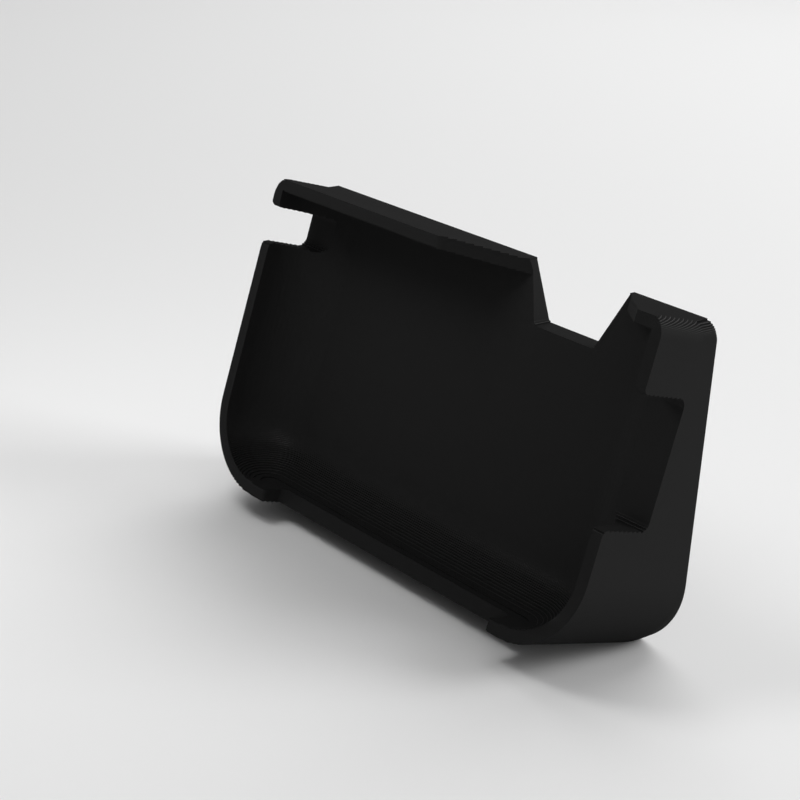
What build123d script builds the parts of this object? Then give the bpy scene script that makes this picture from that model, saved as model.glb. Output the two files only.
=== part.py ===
from build123d import *
from math import cos, radians, sin, tan
import os

# A dock for a handheld console: one printed tray that leans back on its own wedge.
# Millimetres. X runs to the right, Y to the back and Z up from the table.

# Driving dimensions of the tray, measured square to its leaning rim
overall_width = 140.0
rim_height = 82.7
wall = 3.2
lean = 15.0
lower_corner = 21.4
upper_corner = 4.5
frame_depth = 14.9
tray_depth = 34.9
cavity_depth = 17.0
cavity_round = 15.0

# The upright back face and the height of the rim's foot over the table
back_distance = 39.4
front_lift = 7.1

# Slots in the side walls, open to the front
right_slot_low = 34.0
right_slot_height = 31.5
right_slot_reach = 13.0
right_slot_corner = 2.1
left_slot_low = 65.1
left_slot_height = 9.9
left_slot_reach = 13.0
left_slot_corner = 2.8
left_slot_upper_corner = 0.6
slot_mouth = 1.5

# Opening in the top wall, which narrows to a gate in the back panel
mouth_left = 65.8
mouth_width = 65.8
mouth_angle = 45.0
mouth_round = 3.5
gate_centre = 98.0
gate_drop = 14.7
gate_floor = 19.9
gate_side_angle = 23.2
gate_corner = 1.4

# Recess in the front edge of the bottom wall
recess_left = 26.8
recess_width = 88.1
recess_depth = 6.6
recess_lip = 0.8
recess_round = 1.6

# Cutting shapes reach this far past what they cut
past = 10.0

# The rim's plane: its own x runs along the width and its own y up the leaning rim,
# and the depth of the tray runs against its normal
rim = Plane(
    origin=(0, 0, front_lift),
    x_dir=(1, 0, 0),
    z_dir=(0, -cos(radians(lean)), sin(radians(lean))),
)
half_width = overall_width / 2
side_view = Plane(origin=rim.origin, x_dir=-rim.z_dir, z_dir=(1, 0, 0))


def at(x, up, depth):
    """The point at this place along the width, up the rim and into the tray."""
    return rim.from_local_coords(Vector(x, up, -depth))


def plan_at(up):
    """The plane at this height that is seen along the rim: its y runs into the tray."""
    return Plane(origin=at(0, up, 0), x_dir=(1, 0, 0), z_dir=rim.y_dir)


# Behind the frame the top runs level, so its back edge is as high as the frame's back edge
back_face = Plane(origin=(0, back_distance, 0), x_dir=(-1, 0, 0), z_dir=(0, 1, 0))
back_top = at(0, rim_height, frame_depth).Z


def outline(half, low, high, lower_radius, upper_radius):
    """The tray's outline square to the rim, with large lower and small upper corners."""
    shape = Pos(0, (low + high) / 2) * Rectangle(2 * half, high - low)
    shape = fillet(shape.vertices().group_by(Axis.Y)[0], lower_radius)
    if upper_radius:
        shape = fillet(shape.vertices().group_by(Axis.Y)[-1], upper_radius)
    return shape


def make_body():
    """The outline runs back square to the rim, and level from the frame's and the tray's backs."""
    shape = outline(half_width, 0, rim_height, lower_corner, upper_corner)
    body = extrude(rim * shape, -tray_depth)
    for depth in (frame_depth, tray_depth):
        body += extrude(rim.offset(-depth) * shape, back_distance, dir=(0, 1, 0))
    body = split(body, bisect_by=back_face, keep=Keep.BOTTOM)
    return split(body, bisect_by=Plane.XY, keep=Keep.TOP)


def make_cavity():
    """The space for the console, with a wide round from its floor and sides to its back."""
    half = half_width - wall
    shape = outline(half, wall, rim_height - wall, lower_corner - wall, 0)
    space = extrude(rim * shape, -cavity_depth)
    rear = space.faces().sort_by(Axis(rim.origin, rim.z_dir))[0]
    upper = rear.edges().sort_by(Axis(rim.origin, rim.y_dir))[-1]
    space = fillet([edge for edge in rear.edges() if edge != upper], cavity_round)
    return space + extrude(rim * shape, past)


def make_slot(low, height, lower_round, upper_round):
    """A slot seen from the side, as deep as the frame, with rounded mouth and back corners."""
    middle = low + height / 2
    shape = Pos(frame_depth / 2, middle) * Rectangle(frame_depth, height)
    shape += Pos(-past / 2, middle) * Rectangle(past, height + 2 * past)
    for up, size in ((low, lower_round), (low + height, upper_round)):
        shape = fillet(shape.vertices().sort_by_distance(Vector(frame_depth, up))[0], size)
    for up in (low, low + height):
        shape = fillet(shape.vertices().sort_by_distance(Vector(0, up))[0], slot_mouth)
    return side_view * shape


def make_side_slots():
    """Each slot cuts through its side wall and flat through the round behind it."""
    right = make_slot(right_slot_low, right_slot_height, right_slot_corner, right_slot_corner)
    right = extrude(right, right_slot_reach + past)
    right = Pos(half_width - right_slot_reach, 0, 0) * right
    left = make_slot(left_slot_low, left_slot_height, left_slot_corner, left_slot_upper_corner)
    left = extrude(left, left_slot_reach + past)
    left = Pos(-half_width - past, 0, 0) * left
    return right + left


def make_mouth():
    """The opening in the top wall, seen along the rim."""
    left = mouth_left - half_width
    right = left + mouth_width
    run = cavity_depth * tan(radians(mouth_angle))
    path = Polyline(
        (left - past, -past),
        (left - past, 0),
        (left, 0),
        (left + run, cavity_depth),
        (right - run, cavity_depth),
        (right, 0),
        (right + past, 0),
        (right + past, -past),
        close=True,
    )
    shape = make_face(path)
    corner = shape.vertices().sort_by_distance(Vector(left, 0, 0))[0]
    shape = fillet(corner, mouth_round)
    return extrude(plan_at(rim_height - 2 * wall) * shape, 2 * wall + past)


def make_gate():
    """The notch with sloping sides in the panel's top edge, cut level through the panel."""
    half_floor = gate_floor / 2
    half_top = half_floor + (gate_drop + past) * tan(radians(gate_side_angle))
    path = Polyline(
        (-half_floor, back_top - gate_drop),
        (half_floor, back_top - gate_drop),
        (half_top, back_top + past),
        (-half_top, back_top + past),
        close=True,
    )
    shape = make_face(path)
    shape = fillet(shape.vertices().group_by(Axis.Y)[0], gate_corner)
    shape = Pos(half_width - gate_centre, 0) * shape
    return extrude(back_face * shape, frame_depth, both=True)


def make_recess():
    """The recess in the front edge of the bottom wall: a rounded left end and a sharp right end."""
    left = recess_left - half_width
    right = left + recess_width
    path = Polyline(
        (left - past, -past),
        (left - past, 0),
        (left, 0),
        (left, recess_depth),
        (right, recess_depth),
        (right, -past),
        close=True,
    )
    shape = make_face(path)
    for depth, size in ((0, recess_lip), (recess_depth, recess_round)):
        shape = fillet(shape.vertices().sort_by_distance(Vector(left, depth, 0))[0], size)
    return extrude(plan_at(-past) * shape, past + 2 * wall)


dock = make_body() - make_cavity() - make_side_slots() - make_mouth() - make_gate() - make_recess()
dock = Pos(0, -dock.bounding_box().center().Y, 0) * dock

os.makedirs("parts", exist_ok=True)
export_step(dock, "parts/dock_shell.step")
print("volume", round(dock.volume), "size", dock.bounding_box().size)
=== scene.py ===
import math
from collections import Counter

import bmesh
import bpy
import numpy as np
from mathutils import Matrix, Vector, geometry


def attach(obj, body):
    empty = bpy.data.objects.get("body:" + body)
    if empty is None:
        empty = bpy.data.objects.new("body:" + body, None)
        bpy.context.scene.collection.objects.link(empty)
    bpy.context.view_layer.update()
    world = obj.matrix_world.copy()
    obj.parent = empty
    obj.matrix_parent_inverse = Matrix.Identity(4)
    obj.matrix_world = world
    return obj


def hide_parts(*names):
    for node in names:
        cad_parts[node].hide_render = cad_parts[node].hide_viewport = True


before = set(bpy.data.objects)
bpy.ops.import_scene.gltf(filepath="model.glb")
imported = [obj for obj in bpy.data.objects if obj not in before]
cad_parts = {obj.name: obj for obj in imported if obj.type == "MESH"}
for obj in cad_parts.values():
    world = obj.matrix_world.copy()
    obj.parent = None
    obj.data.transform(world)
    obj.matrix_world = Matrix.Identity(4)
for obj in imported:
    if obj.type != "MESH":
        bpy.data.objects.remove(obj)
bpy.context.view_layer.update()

# The tray is the whole dock: one piece of black plastic, printed in level layers from the table
# up. Each layer is cut out of the dock's solid at its own height. Steep sides run on smoothly from
# layer to layer, and where a level tread lies open, the layer under it ends in a rounded bead.
mm = 0.001
layer_height = 0.4
bead_round = 0.15
bead_turns = (0, 30, 60, 90)

# Steps up to the first width are smoothed away, from the second on the bead is fully round,
# and from the third on the treads are so wide that their edges are left sharp
steep_step = 0.2
gentle_step = 0.35
widest_step = 1.3

# How finely the outlines are kept, in millimetres and square millimetres, how far two sides
# turn before they meet in a sharp edge, and how near a layer's end a point counts as on it
longest_run = 6.0
straight_enough = 0.003
closest_points = 0.01
same_point = 0.001
smallest_tread = 0.0004
corner_turn = math.radians(25)
sharpest_share = 0.3
near_a_level = 0.1

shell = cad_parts["dock_shell"]
welding = bmesh.new()
welding.from_mesh(shell.data)
bmesh.ops.remove_doubles(welding, verts=welding.verts, dist=same_point * mm)
bmesh.ops.triangulate(welding, faces=welding.faces)
welded_places = np.array([vertex.co for vertex in welding.verts], float) / mm
triangles = np.array([[vertex.index for vertex in face.verts] for face in welding.faces])
welding.free()
facings = np.cross(
    welded_places[triangles[:, 1]] - welded_places[triangles[:, 0]],
    welded_places[triangles[:, 2]] - welded_places[triangles[:, 0]],
)


def crossing(low, high, height):
    """Where the edge between two corners passes this height."""
    share = (height - welded_places[low][2]) / (welded_places[high][2] - welded_places[low][2])
    return welded_places[low][:2] + share * (welded_places[high][:2] - welded_places[low][:2])


def section(height):
    """The solid's closed outlines at this height, each with the plastic on its left."""
    above = welded_places[:, 2] > height
    count = above[triangles].sum(axis=1)
    follows = {}
    places = {}
    for index in np.nonzero((count == 1) | (count == 2))[0]:
        corners = triangles[index]
        ends = []
        for first, second in ((0, 1), (1, 2), (2, 0)):
            edge = tuple(sorted((int(corners[first]), int(corners[second]))))
            if above[edge[0]] != above[edge[1]]:
                places[edge] = crossing(edge[0], edge[1], height)
                ends.append(edge)
        step = places[ends[1]] - places[ends[0]]
        if step[0] * -facings[index][1] + step[1] * facings[index][0] < 0:
            ends.reverse()
        follows[ends[0]] = ends[1]
    outlines = []
    while follows:
        start, after = follows.popitem()
        outline = [places[start]]
        while after != start and after in follows:
            outline.append(places[after])
            after = follows.pop(after)
        outlines.append(outline)
    return [kept for kept in map(without_needless, outlines) if len(kept) > 2]


def without_needless(outline):
    """The outline without the points that lie in line with their neighbours."""
    spaced = [
        point for point, before in zip(outline, outline[-1:] + outline[:-1])
        if math.hypot(*(point - before)) > closest_points
    ]
    kept = []
    for index, point in enumerate(spaced):
        before = kept[-1] if kept else spaced[index - 1]
        along = spaced[(index + 1) % len(spaced)] - before
        aside = abs(along[0] * (point - before)[1] - along[1] * (point - before)[0])
        if aside > straight_enough * math.hypot(*along):
            kept.append(point)
    return kept


def spread(outline):
    """The outline with more points on its long straight runs."""
    spaced = []
    for point, after in zip(outline, outline[1:] + outline[:1]):
        parts = math.ceil(math.hypot(*(after - point)) / longest_run)
        spaced += [point + (after - point) * part / parts for part in range(parts)]
    return np.array(spaced)


def inward(outline):
    """Each point's way into the plastic, and which points are corners."""
    ahead = np.roll(outline, -1, axis=0) - outline
    ahead /= np.linalg.norm(ahead, axis=1)[:, None]
    outward = np.stack([ahead[:, 1], -ahead[:, 0]], axis=1)
    before = np.roll(outward, 1, axis=0)
    turn = (outward * before).sum(axis=1)
    way = -(outward + before) / np.maximum(1 + turn, sharpest_share)[:, None]
    return way, turn < math.cos(corner_turn)


def inside(places, outlines):
    """Which of these places lie in the plastic that the outlines bound."""
    found = np.zeros(len(places), bool)
    for outline in outlines:
        x0, y0 = outline[:, 0], outline[:, 1]
        x1, y1 = np.roll(x0, -1), np.roll(y0, -1)
        x, y = places[:, 0][:, None], places[:, 1][:, None]
        spans = (y0 > y) != (y1 > y)
        rise = np.where(y1 == y0, 1.0, y1 - y0)
        crosses = spans & (x < x0 + (y - y0) * (x1 - x0) / rise)
        found ^= crosses.sum(axis=1) % 2 == 1
    return found


def to_next(outline, above):
    """Each point's way to the next layer's outline, and how wide a tread lies open there."""
    way, corner = inward(outline)
    room = np.full(len(outline), widest_step)
    for ring in above:
        along = np.roll(ring, -1, axis=0) - ring
        offset = outline[:, None] - ring[None]
        share = np.clip((offset * along).sum(axis=2) / (along * along).sum(axis=1), 0, 1)
        back = share[:, :, None] * along - offset
        reach = np.linalg.norm(back, axis=2)
        nearest = np.arange(len(outline)), reach.argmin(axis=1)
        closer = reach[nearest] < room
        room[closer] = reach[nearest][closer]
        way[closer] = back[nearest][closer] / np.maximum(room[closer], same_point)[:, None]
    room[inside(outline, above)] = 0
    return way, room, corner


class Print:
    """The growing mesh: its points, its faces, and which edges stay sharp."""

    def __init__(self):
        self.places = []
        self.numbers = {}
        self.faces = []
        self.flat = []
        self.corners = set()

    def point(self, x, y, z):
        """The number of the point at this place, in millimetres."""
        key = (round(x / same_point), round(y / same_point), round(z / same_point))
        if key not in self.numbers:
            self.numbers[key] = len(self.places)
            self.places.append((x * mm, y * mm, z * mm))
        return self.numbers[key]

    def face(self, points, flat):
        """Adds a face of the points that don't fall together."""
        points = tuple(dict.fromkeys(points))
        if len(points) > 2:
            self.faces.append(points)
            self.flat.append(flat)

    def wall(self, outline, above, low):
        """The side of one bead: a steep one slopes to the next, and a wide tread's edge is round."""
        way, room, corner = to_next(outline, above)
        gentle = np.clip((room - steep_step) / (gentle_step - steep_step), 0, 1)
        slope = room * (1 - gentle)
        edge = np.where(room < widest_step, gentle * bead_round, 0)
        rows = [[self.point(x, y, low) for x, y in outline]]
        for turn in map(math.radians, bead_turns):
            rise = layer_height - edge * (1 - math.sin(turn))
            inset = slope * rise / layer_height + edge * (1 - math.cos(turn))
            ring = outline + way * inset[:, None]
            rows.append([self.point(x, y, low + up) for (x, y), up in zip(ring, rise)])
        for lower, upper in zip(rows, rows[1:]):
            for index in range(len(lower)):
                ahead = (index + 1) % len(lower)
                self.face((lower[index], lower[ahead], upper[ahead], upper[index]), False)
                if corner[index]:
                    self.corners.add(frozenset((lower[index], upper[index])))
        return ring

    def treads(self, under, over, height):
        """The level steps that show where two layers' outlines differ."""
        rings = under + over
        points = [Vector(place) for ring in rings for place in ring]
        edges = []
        for ring in rings:
            start = len(edges)
            count = len(ring)
            edges += [(start + i, start + (i + 1) % count) for i in range(count)]
        made, _, faces, *_ = geometry.delaunay_2d_cdt(points, edges, [], 0, same_point)
        made = np.array(made)
        faces = np.array(faces)
        middles = made[faces].mean(axis=1)
        shown_up = inside(middles, under) & ~inside(middles, over)
        shown_down = inside(middles, over) & ~inside(middles, under)
        sides = made[faces[:, 1:]] - made[faces[:, :1]]
        area = np.abs(sides[:, 0, 0] * sides[:, 1, 1] - sides[:, 0, 1] * sides[:, 1, 0]) / 2
        for index in np.nonzero((shown_up | shown_down) & (area > smallest_tread))[0]:
            numbers = [self.point(*made[corner], height) for corner in faces[index]]
            self.face(tuple(numbers if shown_up[index] else reversed(numbers)), True)

    def leave_out_strays(self):
        """Drops the slivers that share no side with another face."""
        sides = [[frozenset(pair) for pair in zip(face, face[1:] + face[:1])] for face in self.faces]
        count = Counter(side for face_sides in sides for side in face_sides)
        joined = [any(count[side] > 1 for side in face_sides) for face_sides in sides]
        self.faces = [face for face, kept in zip(self.faces, joined) if kept]
        self.flat = [flat for flat, kept in zip(self.flat, joined) if kept]

    def mesh(self, name):
        """The finished mesh, with sharp edges at corners and between the beads."""
        self.leave_out_strays()
        made = bpy.data.meshes.new(name)
        made.from_pydata(self.places, [], self.faces)
        made.polygons.foreach_set("use_smooth", [not flat for flat in self.flat])
        heights = np.array(self.places)[:, 2] / mm / layer_height
        at_step = np.abs(heights - np.round(heights)) < near_a_level
        for edge in made.edges:
            first, second = edge.vertices
            between = at_step[first] and at_step[second]
            edge.use_edge_sharp = bool(between or frozenset((first, second)) in self.corners)
        made.validate()
        made.update()
        return made


layer_count = round(max(welded_places[:, 2]) / layer_height)
middles = [(number + 0.5) * layer_height for number in range(layer_count)]
layers = [[spread(outline) for outline in section(middle)] for middle in middles]
layers.append([])
printed = Print()
tops = []
for number, outlines in enumerate(layers):
    low = number * layer_height
    if tops or outlines:
        printed.treads(tops, outlines, low)
    tops = [printed.wall(outline, layers[number + 1], low) for outline in outlines]

tray = bpy.data.objects.new("printed_tray", printed.mesh("printed_tray"))
bpy.context.scene.collection.objects.link(tray)


class Socket:
    """A node's output that Python's operators work on, each by adding a Math node."""

    def __init__(self, nodes, socket):
        self.nodes = nodes
        self.socket = socket

    def calculate(self, operation, first, second):
        made = self.nodes.add("ShaderNodeMath", {"operation": operation}, {0: first, 1: second})
        return made["Value"]

    def __add__(self, other):
        return self.calculate("ADD", self, other)

    def __radd__(self, other):
        return self.calculate("ADD", other, self)

    def __sub__(self, other):
        return self.calculate("SUBTRACT", self, other)

    def __rsub__(self, other):
        return self.calculate("SUBTRACT", other, self)

    def __mul__(self, other):
        return self.calculate("MULTIPLY", self, other)

    def __rmul__(self, other):
        return self.calculate("MULTIPLY", other, self)


class Nodes:
    """The nodes of one material or of the world."""

    def __init__(self, tree):
        self.tree = tree

    def add(self, kind, settings=None, inputs=None):
        """A new node: its settings go first, then the values or links of its sockets."""
        node = self.tree.nodes.new(kind)
        for name, value in (settings or {}).items():
            setattr(node, name, value)
        shown = {socket.name: socket for socket in node.inputs if socket.enabled}
        for name, value in (inputs or {}).items():
            socket = shown[name] if isinstance(name, str) else node.inputs[name]
            if isinstance(value, Socket):
                self.tree.links.new(value.socket, socket)
            else:
                socket.default_value = value
        return {output.name: Socket(self, output) for output in node.outputs if output.enabled}


def material(name):
    """A new material with no nodes yet, and its nodes."""
    made = bpy.data.materials.new(name)
    made.use_nodes = True
    made.node_tree.nodes.clear()
    return made, Nodes(made.node_tree)


# Level treads are dull, and their black is painted a little darker than the sides' as painted shade;
# the beads' round edges are glossy, and the sides lie in between, rougher where they face left
black_plastic, plastic = material("black_printed_plastic")
place = plastic.add("ShaderNodeTexCoord")["Object"]
grain = plastic.add("ShaderNodeTexNoise", {}, {"Vector": place, "Scale": 1400.0, "Detail": 3.0})
cloud = plastic.add("ShaderNodeTexNoise", {}, {"Vector": place, "Scale": 60.0, "Detail": 2.0})
normal = plastic.add("ShaderNodeNewGeometry")["Normal"]
facing = plastic.add("ShaderNodeSeparateXYZ", {}, {"Vector": normal})


def rising(value, start, end):
    """A mask that rises smoothly from 0 to 1 as the value goes from start to end."""
    mask = plastic.add(
        "ShaderNodeMapRange",
        {"interpolation_type": "SMOOTHSTEP"},
        {"Value": value, "From Min": start, "From Max": end},
    )
    return mask["Result"]


raised = rising(facing["Z"], 0.5, 0.75)
level = rising(facing["Z"], 0.93, 0.99)
leftward = rising(facing["X"], -0.3, -0.65)
sideways = plastic.add("ShaderNodeMath", {"operation": "ABSOLUTE"}, {0: facing["X"]})["Value"]
crest = (raised - level) * (0.3 + 0.4 * sideways)
roughness = 0.45 + 0.10 * cloud["Fac"] + 0.06 * grain["Fac"] + 0.35 * level + 0.4 * leftward
side_black = (0.0165, 0.0165, 0.0165, 1.0)
# The treads' darker black is painted shade on the up-facing faces, not a different plastic
tread_black_painted_shade = (0.011, 0.011, 0.011, 1.0)
# Mixes the painted shade into the colour of the level, up-facing treads
tone_with_painted_shade = plastic.add(
    "ShaderNodeMix",
    {"data_type": "RGBA"},
    {"Factor": level, "A": side_black, "B": tread_black_painted_shade},
)
relief = plastic.add(
    "ShaderNodeBump",
    {},
    {"Height": grain["Fac"], "Strength": 0.25, "Distance": 0.00003},
)
surface = plastic.add(
    "ShaderNodeBsdfPrincipled",
    {},
    {
        "Base Color": tone_with_painted_shade["Result"],
        "Coat Weight": crest,
        "Coat Roughness": 0.3,
        "Roughness": roughness,
        "Specular IOR Level": 0.03,
        "Normal": relief["Normal"],
    },
)
plastic.add("ShaderNodeOutputMaterial", {}, {"Surface": surface["BSDF"]})
tray.data.materials.append(black_plastic)
shell.data.materials.clear()
shell.data.materials.append(black_plastic)
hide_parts("dock_shell")
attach(tray, "root")

# The floor is a plain pale studio floor with a dull face, so wide that no edge of it shows.
# It takes the dock's shadow and isn't part of it.
floor_reach = 6.0
floor_white = (0.8, 0.8, 0.8, 1.0)
floor_corners = [(-floor_reach, -floor_reach), (floor_reach, -floor_reach)]
floor_corners += [(floor_reach, floor_reach), (-floor_reach, floor_reach)]
floor_mesh = bpy.data.meshes.new("floor")
floor_mesh.from_pydata([(x, y, 0) for x, y in floor_corners], [], [(0, 1, 2, 3)])
floor = bpy.data.objects.new("floor", floor_mesh)
bpy.context.scene.collection.objects.link(floor)
pale_floor, pale = material("pale_floor")
matte = pale.add("ShaderNodeBsdfDiffuse", {}, {"Color": floor_white})
pale.add("ShaderNodeOutputMaterial", {}, {"Surface": matte["BSDF"]})
floor_mesh.materials.append(pale_floor)

# The light is a pale room, brighter to the right and behind the dock, with square soft lamps
# that point at it: large ones behind it and overhead, and small weak ones over its left front.
room_around = 0.10
room_right = 0.57
room_behind = 0.61
lamp_aim = Vector((0, 0, 0.03))


def lamp(name, place, size, power):
    """A square soft lamp that points at the dock."""
    data = bpy.data.lights.new(name, "AREA")
    data.size = size
    data.energy = power
    made = bpy.data.objects.new(name, data)
    made.location = place
    made.rotation_euler = (lamp_aim - Vector(place)).to_track_quat("-Z", "Y").to_euler()
    bpy.context.scene.collection.objects.link(made)


lamp("back_lamp", (-0.5, 1.0, 1.2), 1.4, 15.0)
lamp("back_right_lamp", (0.8, 0.8, 0.8), 0.6, 8.0)
lamp("near_lamp", (-0.08, -0.09, 0.24), 0.1, 0.18)
lamp("left_lamp", (-0.33, -0.33, 0.5), 0.3, 0.14)
lamp("ceiling_lamp", (0.0, 0.2, 1.8), 2.0, 3.0)

world = bpy.data.worlds.new("pale_room")
world.use_nodes = True
world.node_tree.nodes.clear()
pale_room = Nodes(world.node_tree)
direction = pale_room.add("ShaderNodeTexCoord")["Generated"]
towards = pale_room.add("ShaderNodeSeparateXYZ", {}, {"Vector": direction})
right = pale_room.add("ShaderNodeMath", {"operation": "MAXIMUM"}, {0: towards["X"], 1: 0.0})["Value"]
back = pale_room.add("ShaderNodeMath", {"operation": "MAXIMUM"}, {0: towards["Y"], 1: 0.0})["Value"]
lit = room_around + room_right * right * right + room_behind * back * back
glow = pale_room.add("ShaderNodeBackground", {}, {"Color": (1, 1, 1, 1), "Strength": lit})
pale_room.add("ShaderNodeOutputWorld", {}, {"Surface": glow["Background"]})
bpy.context.scene.world = world

# The camera looks down on the dock from its right front and is a little rolled, as in the
# photograph. Its place, aim, roll and lens were fitted to the dock's corners.
camera_place = Vector((0.3227, -0.2947, 0.2063))
camera_aim = Vector((-0.01286, 0, 0.04181))
camera_roll = math.radians(3.82)
camera_data = bpy.data.cameras.new("camera")
camera_data.lens = 84.37
camera_data.sensor_width = 36.0
camera = bpy.data.objects.new("camera", camera_data)
looking = (camera_aim - camera_place).to_track_quat("-Z", "Y").to_matrix()
rolled = looking @ Matrix.Rotation(camera_roll, 3, "Z")
camera.matrix_world = Matrix.Translation(camera_place) @ rolled.to_4x4()
bpy.context.scene.collection.objects.link(camera)
bpy.context.scene.camera = camera
bpy.context.scene.view_settings.view_transform = "Standard"
